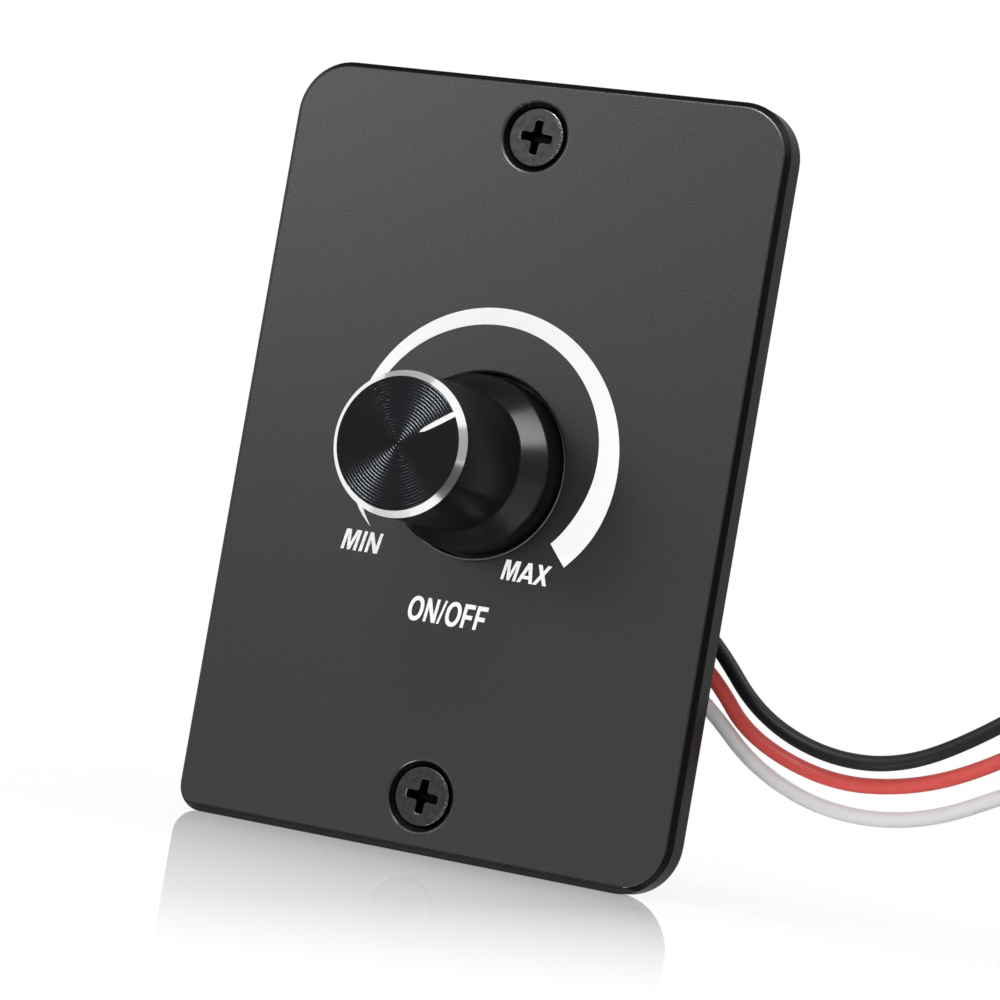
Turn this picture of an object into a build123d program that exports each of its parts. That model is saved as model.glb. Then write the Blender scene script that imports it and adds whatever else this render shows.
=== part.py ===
# Rotary low-voltage dimmer on an anodised aluminium wall plate.
# Turning the knob works a potentiometer that dims, and pressing it works a push switch behind that.
# Millimetres. +X is right and +Z is up as the plate hangs on the wall, and +Y goes into the wall.
# The origin is the centre of the plate's back face.
from build123d import *
import math
import os

# Wall plate
plate_width = 63.0
plate_height = 90.0
plate_thickness = 3.6
plate_corner_radius = 6.4
plate_tight_radius = 3.0
plate_edge_chamfer = 0.7
knob_hole_clearance = 0.45
knob_hole_chamfer = 0.2
pocket_depth = 0.6
pocket_clearance = 0.1

# Countersunk mounting screws
screw_spacing = 76.8
screw_length = 20.0
screw_thread_diameter = 3.5
screw_neck_diameter = 2.7
screw_head_diameter = 7.1
screw_head_rim = 0.2
screw_point_length = 4.0
screw_hole_diameter = 3.9
countersink_diameter = 8.4
cross_span = 4.2
cross_width = 1.05
cross_depth = 1.6
cross_taper = 12.0
cross_corner_radius = 0.35
cross_turn = -4.0

# Printed dial, drawn about a centre a little above the knob's axis
dial_centre_z = 0.9
dial_print = 0.05
dial_outer_radius = 17.4
dial_inner_radius = 15.4
dial_tip_radius = 15.7
dial_tip_angle = 217.9
dial_end_outer_radius = 16.95
dial_end_inner_radius = 13.75
dial_end_angle = -38.6
dial_outer_turn_angle = 115.0
dial_inner_turn_angle = 60.0

# Knob, heights measured from the plate's face
knob_diameter = 16.4
knob_height = 21.0
knob_bevel = 0.73
knob_face_thickness = 2.0
skirt_diameter = 20.5
skirt_sink = 1.0
flare_top = 6.2
flare_foot = 3.1
knob_hollow_diameter = 14.0
knob_hollow_depth = 5.4
core_diameter = 12.0
core_set_back = 4.4
pointer_angle = 33.0
pointer_inner_radius = 2.8
pointer_width = 0.62
pointer_end_width = 0.42
pointer_depth = 0.2

# Push and turn
press_travel = 1.5
turn_range = 270.0
stop_spare_angle = 0.5
running_clearance = 0.05
moving_gap = 0.3
fit_gap = 0.03

# Shaft
shaft_diameter = 6.0
shaft_end_gap = 2.0
spline_teeth = 18
spline_depth = 0.3
shaft_split = 0.9
shaft_split_depth = 8.0
drive_diameter = 5.0
drive_flats = 3.6

# Potentiometer
bushing_diameter = 7.0
bushing_length = 4.4
bushing_hole_clearance = 0.1
nut_flats = 10.0
nut_thickness = 2.0
washer_diameter = 11.4
washer_thickness = 0.5
pot_plate_size = 16.0
pot_plate_thickness = 1.0
pot_plate_corner_radius = 2.0
lug_width = 2.4
lug_thickness = 1.0
lug_length = 1.2
lug_offset = 7.0
lug_clearance = 0.1
can_diameter = 16.4
can_depth = 7.0
can_wall = 0.5
wafer_thickness = 1.2
wafer_gap = 0.2
tongue_width = 13.0
tongue_reach = 11.6
terminal_pitch = 5.0
terminal_width = 0.9
terminal_thickness = 0.5
terminal_inset = 1.1
rotor_diameter = 13.0
rotor_thickness = 2.0
rotor_hub_diameter = 8.4
rotor_end_gap = 0.1
can_stop_half_angle = 20.0
stop_height = 0.85
wiper_thickness = 0.25
wiper_inner_radius = 4.7
wiper_outer_radius = 6.2
wiper_half_angle = 40.0
wiper_finger_width = 0.55
wiper_finger_half_angle = 8.0

# Push switch
switch_size = 14.0
switch_depth = 8.6
switch_wall = 1.5
switch_floor = 1.0
switch_corner_radius = 0.75
plunger_lead = 1.0
plunger_thickness = 1.6
plunger_post_diameter = 2.8
plunger_post_length = 2.0
spring_diameter = 6.0
spring_wire = 0.5
spring_turns = 3.5
spring_section_sides = 6
spring_end_gap = 0.05
bridge_thickness = 0.3
bridge_width = 1.6
bridge_offset = 3.9
contact_thickness = 0.4
contact_gap = 0.05

# Circuit board
board_thickness = 1.6
board_gap = 0.3
pin_hole_diameter = 1.4
pin_stand_out = 1.2
capacitor_diameter = 8.0
capacitor_height = 11.5
capacitor_rim_radius = 0.8
capacitor_inset_x = 6.4
capacitor_inset_z = 9.9
transistor_inset_x = 4.4
transistor_inset_z = 12.4
transistor_width = 6.6
transistor_length = 6.1
transistor_height = 2.3
transistor_tab_width = 5.3
transistor_tab_length = 8.0
transistor_tab_thickness = 0.6
transistor_tab_offset = 1.0
transistor_leg_width = 0.8
transistor_leg_length = 3.0
transistor_leg_thickness = 0.5
transistor_leg_x = 2.28
transistor_leg_z = -4.0
diode_inset_x = 5.9
diode_inset_z = 8.4
diode_length = 6.9
diode_width = 5.9
diode_height = 2.3
diode_lead_span = 8.0
diode_lead_width = 3.0
diode_lead_height = 1.0
chip_inset_z = 8.9
chip_length = 4.9
chip_width = 3.9
chip_height = 1.6
chip_stand_off = 0.15
chip_pins = 4
chip_pin_pitch = 1.27
chip_pin_width = 0.42
chip_pin_span = 6.0
chip_pin_height = 0.4
resistor_gap = 2.9
resistor_inset_z = 5.6
resistor_step = 2.6
resistor_count = 4
resistor_length = 3.2
resistor_width = 1.6
resistor_height = 0.6

# Housing
housing_width = 33.0
housing_height = 57.0
housing_corner_radius = 3.0
housing_rear_chamfer = 0.5
housing_wall = 1.8
housing_front_wall = 2.0
rear_space = 2.0
cover_thickness = 1.6
cover_gap = 0.1
cover_rim = 0.9
post_diameter = 4.4
board_boss_diameter = 4.0
board_boss_inset = 2.7
housing_screw_inset_x = 5.2
housing_screw_inset_z = 9.2

# Small screws
housing_screw_diameter = 2.5
housing_screw_engagement = 2.1
housing_screw_head_diameter = 4.6
housing_screw_head_height = 1.6
board_screw_diameter = 2.0
board_screw_reach = 4.5
board_screw_head_diameter = 3.6
board_screw_head_height = 1.2
cover_screw_diameter = 2.2
cover_screw_reach = 6.0
cover_screw_head_diameter = 4.0
cover_screw_head_height = 1.1
small_cross_share = 0.55
small_cross_width = 0.6
pilot_spare = 1.0

# Leads and their outlet
lead_diameter = 1.8
lead_clearance = 0.15
lead_end_diameter = 1.1
lead_end_length = 6.0
joint_length = 2.0
mound_diameter = 2.8
mound_taper = 20.0
grommet_width = 3.2
grommet_length = 11.4
grommet_flange = 0.9
grommet_flange_thickness = 1.0

# Routes of the leads, from the solder joint on the board to the stripped far end
lead_routes = {
    "black_lead": [
        (9.0, 17.0, -11.5),
        (13.0, 17.0, -11.4),
        (19.4, 17.0, -11.5),
        (25.0, 16.7, -15.6),
        (31.5, 16.0, -22.7),
        (40.7, 15.2, -26.2),
        (50.1, 14.7, -25.7),
        (59.2, 14.6, -20.6),
        (69.8, 14.9, -11.9),
        (79.2, 15.8, -3.1),
        (88.0, 17.0, 6.2),
    ],
    "red_lead": [
        (9.0, 17.0, -15.3),
        (13.0, 17.0, -15.2),
        (19.4, 17.0, -15.3),
        (25.2, 17.0, -19.4),
        (30.4, 17.1, -25.5),
        (40.8, 17.2, -29.0),
        (50.6, 17.0, -28.0),
        (59.4, 16.7, -24.3),
        (70.6, 16.7, -16.4),
        (80.6, 17.0, -8.4),
        (89.9, 17.5, 0.3),
    ],
    "white_lead": [
        (9.0, 17.0, -19.1),
        (13.0, 17.0, -19.0),
        (19.4, 17.0, -19.1),
        (24.9, 17.2, -22.8),
        (31.7, 17.8, -29.1),
        (41.2, 18.4, -32.5),
        (51.9, 18.7, -31.7),
        (61.9, 19.0, -26.7),
        (71.4, 19.5, -20.9),
        (81.6, 20.3, -14.1),
        (91.2, 21.4, -6.7),
    ],
}

# Stations along the knob's axis
plate_front = -plate_thickness
pocket_floor = -pocket_depth
housing_inside = pocket_floor + housing_front_wall
pot_plate_back = housing_inside + pot_plate_thickness
wafer_back = pot_plate_back + wafer_thickness
can_back = pot_plate_back + can_depth
plunger_front = can_back + plunger_lead
plunger_back = plunger_front + plunger_thickness
board_front = can_back + switch_depth
switch_inside_back = board_front - switch_floor
board_back = board_front + board_thickness
cover_front = board_back + rear_space
housing_back = cover_front + cover_thickness
knob_front = plate_front - knob_height
skirt_rim = plate_front + skirt_sink
hollow_top = skirt_rim - knob_hollow_depth
core_front = knob_front + knob_face_thickness
core_back = skirt_rim - core_set_back
shaft_front = core_front + shaft_end_gap
bushing_front = pocket_floor - bushing_length
washer_front = pocket_floor - washer_thickness
nut_front = washer_front - nut_thickness

# The shaft's full diameter ends behind the bushing, and the rotor's hub starts clear of it when pressed
shaft_step = pot_plate_back + wafer_thickness / 2
rotor_front = shaft_step + press_travel + moving_gap
hub_front = wafer_back + rotor_end_gap
hub_back = can_back - can_wall - rotor_end_gap

# The rotor's tooth meets the can's stop at each end of the turn
rotor_stop_half_angle = (360 - turn_range) / 2 - can_stop_half_angle - stop_spare_angle

knob_hole_diameter = skirt_diameter + 2 * knob_hole_clearance
housing_inner_width = housing_width - 2 * housing_wall
housing_inner_height = housing_height - 2 * housing_wall
post_x = housing_inner_width / 2 - post_diameter / 2
post_z = housing_inner_height / 2 - post_diameter / 2
board_width = housing_inner_width - 2 * board_gap
board_height = housing_inner_height - 2 * board_gap
board_boss_x = housing_inner_width / 2 - board_boss_inset
housing_screw_x = housing_inner_width / 2 - housing_screw_inset_x
housing_screw_z = housing_inner_height / 2 - housing_screw_inset_z
switch_inner_size = switch_size - 2 * switch_wall
terminal_z = -(tongue_reach - terminal_inset)
wall_outside = housing_width / 2
wall_inside = housing_inner_width / 2
outlet_y = lead_routes["red_lead"][1][1]
outlet_z = lead_routes["red_lead"][1][2]
corners = [(sx, sz) for sx in (-1, 1) for sz in (-1, 1)]

# Places on the board, from its edges
capacitor_x = board_width / 2 - capacitor_inset_x
capacitor_z = board_height / 2 - capacitor_inset_z
transistor_x = transistor_inset_x - board_width / 2
transistor_z = board_height / 2 - transistor_inset_z
diode_x = diode_inset_x - board_width / 2
diode_z = diode_inset_z - board_height / 2
chip_z = chip_inset_z - board_height / 2
resistor_x = capacitor_x - (capacitor_diameter + resistor_length) / 2 - resistor_gap
resistor_first_z = board_height / 2 - resistor_inset_z


def face_plane(y):
    """A drawing plane that shows X and Z as the viewer sees them, at depth y."""
    return Plane(origin=(0, y, 0), x_dir=(1, 0, 0), z_dir=(0, -1, 0))


def slab(sketch, front, back):
    """A sketch in X and Z given depth from front to back along the knob's axis."""
    return extrude(face_plane(back) * sketch, amount=back - front)


def rod(diameter, front, back, x=0.0, z=0.0):
    return slab(Pos(x, z) * Circle(diameter / 2), front, back)


def block(width, height, front, back, x=0.0, z=0.0):
    return slab(Pos(x, z) * Rectangle(width, height), front, back)


def polar(radius, degrees, centre_z=0.0):
    turn = math.radians(degrees)
    return (radius * math.cos(turn), centre_z + radius * math.sin(turn))


def ring_sector(inner, outer, middle, half):
    """A sector of a ring in X and Z, half degrees each side of middle."""
    first, last = middle - half, middle + half
    edges = [
        CenterArc((0, 0), outer, first, 2 * half),
        Line(polar(outer, last), polar(inner, last)),
        CenterArc((0, 0), inner, first, 2 * half),
        Line(polar(inner, first), polar(outer, first)),
    ]
    return make_face(edges)


def turned(points):
    """A solid turned about the knob's axis from (radius, y) corners."""
    return revolve(make_face(Polyline(*points, close=True)), axis=Axis.Y)


def cross_recess(span, width, top, depth, turn):
    """The tapered cross of a screw head, from its top face inwards."""
    cross = Rectangle(span, width) + Rectangle(width, span)
    inner_corners = cross.vertices().sort_by_distance((0, 0, 0))[:4]
    cross = fillet(inner_corners, cross_corner_radius)
    plane = face_plane(top) * Rot(0, 0, turn)
    return extrude(plane * cross, amount=-depth, taper=cross_taper)


def plate_outline():
    """The plate's outline, with its lower left corner tighter than the others."""
    outline = Rectangle(plate_width, plate_height)
    tight_corner = (-plate_width / 2, -plate_height / 2, 0)
    outline = fillet(outline.vertices().sort_by_distance(tight_corner)[1:], plate_corner_radius)
    return fillet(outline.vertices().sort_by_distance(tight_corner)[:1], plate_tight_radius)


def make_faceplate():
    plate = slab(plate_outline(), plate_front, 0)
    plate = chamfer(plate.faces().sort_by(Axis.Y)[0].edges(), plate_edge_chamfer)
    pocket = RectangleRounded(
        housing_width + 2 * pocket_clearance,
        housing_height + 2 * pocket_clearance,
        housing_corner_radius + pocket_clearance,
    )
    plate -= slab(pocket, pocket_floor, 0)
    plate -= rod(knob_hole_diameter, plate_front, 0)
    rim = knob_hole_diameter / 2
    plate -= turned(
        [
            (0, plate_front),
            (rim + knob_hole_chamfer, plate_front),
            (rim, plate_front + knob_hole_chamfer),
            (0, plate_front + knob_hole_chamfer),
        ]
    )
    sink = countersink_diameter / 2
    countersink = turned([(0, plate_front), (sink, plate_front), (0, plate_front + sink)])
    for side in (-1, 1):
        plate -= Pos(0, 0, side * screw_spacing / 2) * countersink
        plate -= rod(screw_hole_diameter, plate_front, 0, 0, side * screw_spacing / 2)
    for sx, sz in corners:
        plate -= rod(
            housing_screw_diameter + 2 * fit_gap,
            pocket_floor - housing_screw_engagement,
            pocket_floor,
            sx * housing_screw_x,
            sz * housing_screw_z,
        )
    return plate


def make_dial_arc():
    end_outer = polar(dial_end_outer_radius, dial_end_angle, dial_centre_z)
    end_inner = polar(dial_end_inner_radius, dial_end_angle, dial_centre_z)
    tip = polar(dial_tip_radius, dial_tip_angle, dial_centre_z)
    outer_turn = polar(dial_outer_radius, dial_outer_turn_angle, dial_centre_z)
    inner_turn = polar(dial_inner_radius, dial_inner_turn_angle, dial_centre_z)
    outer_middle = polar(dial_outer_radius, (dial_end_angle + dial_outer_turn_angle) / 2, dial_centre_z)
    inner_middle = polar(
        dial_inner_radius - (dial_inner_radius - dial_end_inner_radius) / 3,
        (dial_end_angle + dial_inner_turn_angle) / 2,
        dial_centre_z,
    )
    back_middle = polar(
        (dial_inner_radius + dial_tip_radius) / 2,
        (dial_inner_turn_angle + dial_tip_angle) / 2,
        dial_centre_z,
    )
    outer = ThreePointArc(end_outer, outer_middle, outer_turn)
    edges = [
        outer,
        TangentArc(outer_turn, tip, tangent=outer % 1),
        ThreePointArc(tip, back_middle, inner_turn),
        ThreePointArc(inner_turn, inner_middle, end_inner),
        Line(end_inner, end_outer),
    ]
    return slab(make_face(edges), plate_front - dial_print, plate_front)


def make_mounting_screws():
    head = screw_head_diameter / 2
    neck = screw_neck_diameter / 2
    thread = screw_thread_diameter / 2
    head_front = plate_front + countersink_diameter / 2 - head - screw_head_rim - fit_gap
    cone_front = head_front + screw_head_rim
    tip = head_front + screw_length
    screw = turned(
        [
            (0, head_front),
            (head, head_front),
            (head, cone_front),
            (neck, cone_front + head - neck),
            (neck, 0),
            (thread, 0),
            (thread, tip - screw_point_length),
            (0, tip),
        ]
    )
    screw -= cross_recess(cross_span, cross_width, head_front, cross_depth, cross_turn)
    return [Pos(0, 0, side * screw_spacing / 2) * screw for side in (1, -1)]


def make_knob():
    body = knob_diameter / 2
    skirt = skirt_diameter / 2
    hollow = knob_hollow_diameter / 2
    core = core_diameter / 2
    knob = turned(
        [
            (0, knob_front),
            (body - knob_bevel, knob_front),
            (body, knob_front + knob_bevel),
            (body, plate_front - flare_top),
            (skirt, plate_front - flare_foot),
            (skirt, skirt_rim),
            (hollow, skirt_rim),
            (hollow, hollow_top),
            (core, hollow_top),
            (core, core_front),
            (0, core_front),
        ]
    )
    return knob - make_pointer_groove()


def make_pointer_groove():
    middle = (pointer_inner_radius + knob_diameter / 2) / 2
    beyond = knob_diameter / 2
    tip = (pointer_inner_radius, 0)
    upper = (beyond, pointer_end_width / 2)
    lower = (beyond, -pointer_end_width / 2)
    edges = [
        ThreePointArc(tip, (middle, pointer_width / 2), upper),
        Line(upper, lower),
        ThreePointArc(lower, (middle, -pointer_width / 2), tip),
    ]
    outline = Rot(0, 0, pointer_angle) * make_face(edges)
    return slab(outline, knob_front, knob_front + pointer_depth)


def spline_outline(spare):
    """The serrated end of the shaft, or its bore when spare is a clearance."""
    top = shaft_diameter / 2 + spare
    root = top - spline_depth
    step = 180.0 / spline_teeth
    points = [polar(top if i % 2 == 0 else root, i * step) for i in range(2 * spline_teeth)]
    return Polygon(*points, align=None)


def drive_outline(spare):
    """The shaft's two flats that turn the rotor, or the rotor's bore when spare is a clearance."""
    flats = Rectangle(drive_diameter + 4 * spare, drive_flats + 2 * spare)
    shape = Circle(drive_diameter / 2 + spare) & flats
    return Rot(0, 0, pointer_angle) * shape


def make_knob_core():
    core = rod(core_diameter - 2 * fit_gap, core_front, core_back)
    return core - slab(spline_outline(fit_gap), shaft_front - shaft_end_gap / 2, core_back)


def make_pot_shaft():
    shaft = slab(spline_outline(0), shaft_front, core_back)
    shaft += rod(shaft_diameter, core_back, shaft_step)
    shaft += slab(drive_outline(0), shaft_step, plunger_front)
    slot = Rot(0, 0, pointer_angle) * Rectangle(2 * shaft_diameter, shaft_split)
    return shaft - slab(slot, shaft_front, shaft_front + shaft_split_depth)


def make_pot_nut():
    nut = slab(RegularPolygon(nut_flats / 2, 6, major_radius=False), nut_front, washer_front)
    return nut - rod(bushing_diameter + 2 * fit_gap, nut_front, washer_front)


def make_pot_washer():
    washer = rod(washer_diameter, washer_front, pocket_floor)
    return washer - rod(bushing_diameter + 2 * fit_gap, washer_front, pocket_floor)


def make_pot_bushing():
    bushing = rod(bushing_diameter, bushing_front, pot_plate_back)
    plate = RectangleRounded(pot_plate_size, pot_plate_size, pot_plate_corner_radius)
    bushing += slab(plate, housing_inside, pot_plate_back)
    bushing += block(lug_width, lug_thickness, housing_inside - lug_length, housing_inside, 0, lug_offset)
    return bushing - rod(shaft_diameter + 2 * running_clearance, bushing_front, pot_plate_back)


def make_pot_can():
    inner = can_diameter - 2 * can_wall
    can = rod(can_diameter, pot_plate_back, can_back)
    can -= rod(inner, pot_plate_back, can_back - can_wall)
    stop = ring_sector(inner / 2 - stop_height, can_diameter / 2 - can_wall / 2, -90, can_stop_half_angle)
    can += slab(stop, rotor_front, rotor_front + rotor_thickness)
    can -= rod(drive_diameter + 2 * moving_gap, can_back - can_wall, can_back)
    window_width = tongue_width + 2 * wafer_gap
    window = Pos(0, -can_diameter / 2) * Rectangle(window_width, can_diameter)
    return can - slab(window, pot_plate_back, wafer_back + wafer_gap)


def make_pot_wafer():
    wafer = Circle(can_diameter / 2 - can_wall - wafer_gap)
    wafer += Pos(0, -tongue_reach / 2) * Rectangle(tongue_width, tongue_reach)
    wafer -= Circle(shaft_diameter / 2 + moving_gap)
    return slab(wafer, pot_plate_back, wafer_back)


def pin_places():
    return [(i * terminal_pitch, terminal_z) for i in (-1, 0, 1)]


def make_pot_terminals():
    end = board_back + pin_stand_out
    return [block(terminal_width, terminal_thickness, wafer_back, end, x, z) for x, z in pin_places()]


def make_wiper_rotor():
    rotor = rod(rotor_diameter, rotor_front, rotor_front + rotor_thickness)
    rotor += rod(rotor_hub_diameter, hub_front, hub_back)
    rotor -= rod(shaft_diameter + 2 * moving_gap, hub_front, rotor_front)
    tooth_outer = can_diameter / 2 - can_wall - moving_gap
    tooth = ring_sector(rotor_diameter / 4, tooth_outer, pointer_angle, rotor_stop_half_angle)
    rotor += slab(tooth, rotor_front, rotor_front + rotor_thickness)
    return rotor - slab(drive_outline(running_clearance), hub_front, hub_back)


def make_wiper_contact():
    away = pointer_angle + 180
    base = ring_sector(wiper_inner_radius, wiper_outer_radius, away, wiper_half_angle)
    contact = slab(base, rotor_front - wiper_thickness, rotor_front)
    for radius in (wiper_inner_radius, wiper_outer_radius - wiper_finger_width):
        finger = ring_sector(radius, radius + wiper_finger_width, away, wiper_finger_half_angle)
        contact += slab(finger, wafer_back + rotor_end_gap, rotor_front)
    return contact


def make_switch_body():
    body = slab(RectangleRounded(switch_size, switch_size, switch_corner_radius), can_back, board_front)
    body -= block(switch_inner_size, switch_inner_size, can_back, switch_inside_back)
    for x in contact_places():
        slot_width = contact_thickness + 2 * fit_gap
        slot_height = bridge_width + 2 * fit_gap
        body -= block(slot_width, slot_height, switch_inside_back, board_front, x, bridge_offset)
    return body


def contact_places():
    reach = switch_inner_size / 2 - contact_thickness / 2 - fit_gap
    return [-reach, reach]


def make_switch_terminals():
    front = plunger_back + bridge_thickness + press_travel + contact_gap
    end = board_back + pin_stand_out
    return [block(contact_thickness, bridge_width, front, end, x, bridge_offset) for x in contact_places()]


def make_switch_plunger():
    size = switch_inner_size - 2 * moving_gap
    plunger = block(size, size, plunger_front, plunger_back)
    return plunger + rod(plunger_post_diameter, plunger_back, plunger_back + plunger_post_length)


def make_contact_bridge():
    length = switch_inner_size - 4 * moving_gap
    return block(length, bridge_width, plunger_back, plunger_back + bridge_thickness, 0, bridge_offset)


def make_return_spring():
    radius = (spring_diameter - spring_wire) / 2
    start = plunger_back + spring_wire / 2 + spring_end_gap
    height = switch_inside_back - spring_wire / 2 - spring_end_gap - start
    coil = Helix(pitch=height / spring_turns, height=height, radius=radius, direction=(0, 1, 0))
    coil = Pos(0, start, 0) * coil
    section = Plane(origin=coil @ 0, z_dir=coil % 0) * RegularPolygon(spring_wire / 2, spring_section_sides)
    return sweep(section, path=coil)


def make_circuit_board():
    outline = Rectangle(board_width, board_height)
    notch = 2 * (post_diameter + board_gap)
    for sx, sz in corners:
        place = Pos(sx * board_width / 2, sz * board_height / 2)
        outline -= place * Rectangle(notch, notch)
    edge_notch = 2 * (grommet_flange_thickness + board_gap)
    outlet_height = grommet_length + 2 * grommet_flange + 2 * board_gap
    outline -= Pos(wall_inside, outlet_z) * Rectangle(edge_notch, outlet_height)
    for x, z in pin_places():
        outline -= Pos(x, z) * Circle(pin_hole_diameter / 2)
    for x in contact_places():
        outline -= Pos(x, bridge_offset) * SlotOverall(
            bridge_width + 2 * contact_thickness, 2 * contact_thickness, rotation=90
        )
    for side in (-1, 1):
        place = Pos(side * board_boss_x)
        outline -= place * Circle(board_screw_diameter / 2 + fit_gap)
    return slab(outline, board_front, board_back)


def make_filter_capacitor():
    front = board_front - capacitor_height
    can = rod(capacitor_diameter, front, board_front, capacitor_x, capacitor_z)
    return fillet(can.faces().sort_by(Axis.Y)[0].edges(), capacitor_rim_radius)


def make_power_transistor():
    top = board_front - transistor_height
    body = block(transistor_width, transistor_length, top, board_front, transistor_x, transistor_z)
    tab_front = board_front - transistor_tab_thickness
    tab_z = transistor_z + transistor_tab_offset
    body += block(transistor_tab_width, transistor_tab_length, tab_front, board_front, transistor_x, tab_z)
    leg_front = board_front - transistor_leg_thickness
    leg_z = transistor_z + transistor_leg_z
    for side in (-1, 1):
        leg_x = transistor_x + side * transistor_leg_x
        body += block(transistor_leg_width, transistor_leg_length, leg_front, board_front, leg_x, leg_z)
    return body


def make_flyback_diode():
    body = block(diode_length, diode_width, board_front - diode_height, board_front, diode_x, diode_z)
    lead_front = board_front - diode_lead_height
    return body + block(diode_lead_span, diode_lead_width, lead_front, board_front, diode_x, diode_z)


def make_control_chip():
    top = board_front - chip_height
    chip = block(chip_length, chip_width, top, board_front - chip_stand_off, 0, chip_z)
    pin_front = board_front - chip_pin_height
    for i in range(chip_pins):
        x = (i - (chip_pins - 1) / 2) * chip_pin_pitch
        chip += block(chip_pin_width, chip_pin_span, pin_front, board_front, x, chip_z)
    return chip


def make_chip_resistors():
    places = [resistor_first_z - i * resistor_step for i in range(resistor_count)]
    front = board_front - resistor_height
    return [block(resistor_length, resistor_width, front, board_front, resistor_x, z) for z in places]


def make_housing():
    outer = RectangleRounded(housing_width, housing_height, housing_corner_radius)
    inner_radius = housing_corner_radius - housing_wall
    inner = RectangleRounded(housing_inner_width, housing_inner_height, inner_radius)
    shell = slab(outer, pocket_floor, housing_back)
    shell = chamfer(shell.faces().sort_by(Axis.Y)[-1].edges(), housing_rear_chamfer)
    shell -= slab(inner, housing_inside, housing_back)
    rim = RectangleRounded(
        housing_width - 2 * cover_rim, housing_height - 2 * cover_rim, housing_corner_radius - cover_rim
    )
    for sx, sz in corners:
        x, z = sx * post_x, sz * post_z
        shell += rod(post_diameter, housing_inside, cover_front, x, z)
        half = post_diameter / 2
        shell += block(half, post_diameter, housing_inside, cover_front, x + sx * half / 2, z)
        shell += block(post_diameter, half, housing_inside, cover_front, x, z + sz * half / 2)
    for side in (-1, 1):
        shell += rod(board_boss_diameter, housing_inside, board_front, side * board_boss_x)
    shell -= slab(rim, cover_front, housing_back)
    for sx, sz in corners:
        pilot_front = cover_front - cover_screw_reach - pilot_spare
        shell -= rod(cover_screw_diameter + 2 * fit_gap, pilot_front, cover_front, sx * post_x, sz * post_z)
        hole = housing_screw_diameter + 2 * bushing_hole_clearance
        shell -= rod(hole, pocket_floor, housing_inside, sx * housing_screw_x, sz * housing_screw_z)
    for side in (-1, 1):
        pilot_front = board_front - board_screw_reach - pilot_spare
        shell -= rod(
            board_screw_diameter + 2 * fit_gap, pilot_front, board_front, side * board_boss_x
        )
    shell -= rod(bushing_diameter + 2 * bushing_hole_clearance, pocket_floor, housing_inside)
    shell -= block(
        lug_width + 2 * lug_clearance,
        lug_thickness + 2 * lug_clearance,
        pocket_floor,
        housing_inside,
        0,
        lug_offset,
    )
    shell -= outlet_slab(0, fit_gap, wall_inside, wall_outside)
    recess_from = wall_inside - grommet_flange_thickness - board_gap
    return shell - outlet_slab(grommet_flange, board_gap, recess_from, wall_inside)


def outlet_slab(flange, spare, x_from, x_to):
    """The oblong section of the lead outlet, from x_from to x_to through the right-hand wall."""
    width = grommet_width + 2 * flange + 2 * spare
    length = grommet_length + 2 * flange + 2 * spare
    plane = Plane(origin=(x_from, outlet_y, outlet_z), x_dir=(0, 0, 1), z_dir=(1, 0, 0))
    return extrude(plane * SlotOverall(length, width), amount=x_to - x_from)


def make_wire_grommet():
    inside = wall_inside - grommet_flange_thickness
    outside = wall_outside + grommet_flange_thickness
    grommet = outlet_slab(0, 0, inside, outside)
    grommet += outlet_slab(grommet_flange, 0, inside, wall_inside)
    grommet += outlet_slab(grommet_flange, 0, wall_outside, outside)
    for route in lead_routes.values():
        x, y, z = route[1]
        place = Plane(origin=(inside, y, (z + route[2][2]) / 2), z_dir=(1, 0, 0))
        grommet -= extrude(place * Circle(lead_diameter / 2 + lead_clearance), amount=outside - inside)
    return grommet


def make_rear_cover():
    outline = RectangleRounded(
        housing_width - 2 * cover_rim - 2 * cover_gap,
        housing_height - 2 * cover_rim - 2 * cover_gap,
        housing_corner_radius - cover_rim - cover_gap,
    )
    cover = slab(outline, cover_front, housing_back)
    for sx, sz in corners:
        x, z = sx * post_x, sz * post_z
        cover -= rod(cover_screw_diameter + 2 * bushing_hole_clearance, cover_front, housing_back, x, z)
        seat = housing_back - cover_screw_head_height
        cover -= rod(cover_screw_head_diameter + 2 * cover_gap, seat, housing_back, x, z)
    return cover


def pan_screw(diameter, reach, head_diameter, head_height, seat, facing):
    """A small cross-head screw whose head sits on seat, with its shank towards facing."""
    head_top = seat - facing * head_height
    shank = rod(diameter, min(seat, seat + facing * reach), max(seat, seat + facing * reach))
    head = rod(head_diameter, min(seat, head_top), max(seat, head_top))
    cross_size = small_cross_share * head_diameter
    cross = block(cross_size, small_cross_width, min(seat, head_top), max(seat, head_top))
    cross += block(small_cross_width, cross_size, min(seat, head_top), max(seat, head_top))
    return shank + head - Pos(0, -facing * head_height / 2, 0) * cross


def make_housing_screws():
    reach = housing_front_wall + housing_screw_engagement - fit_gap
    screw = pan_screw(
        housing_screw_diameter,
        reach,
        housing_screw_head_diameter,
        housing_screw_head_height,
        housing_inside,
        -1,
    )
    return [Pos(sx * housing_screw_x, 0, sz * housing_screw_z) * screw for sx, sz in corners]


def make_board_screws():
    screw = pan_screw(
        board_screw_diameter,
        board_thickness + board_screw_reach,
        board_screw_head_diameter,
        board_screw_head_height,
        board_back,
        -1,
    )
    return [Pos(side * board_boss_x, 0, 0) * screw for side in (-1, 1)]


def make_cover_screws():
    seat = housing_back - cover_screw_head_height
    screw = pan_screw(
        cover_screw_diameter,
        seat - cover_front + cover_screw_reach,
        cover_screw_head_diameter,
        cover_screw_head_height,
        seat,
        -1,
    )
    return [Pos(sx * post_x, 0, sz * post_z) * screw for sx, sz in corners]


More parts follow.
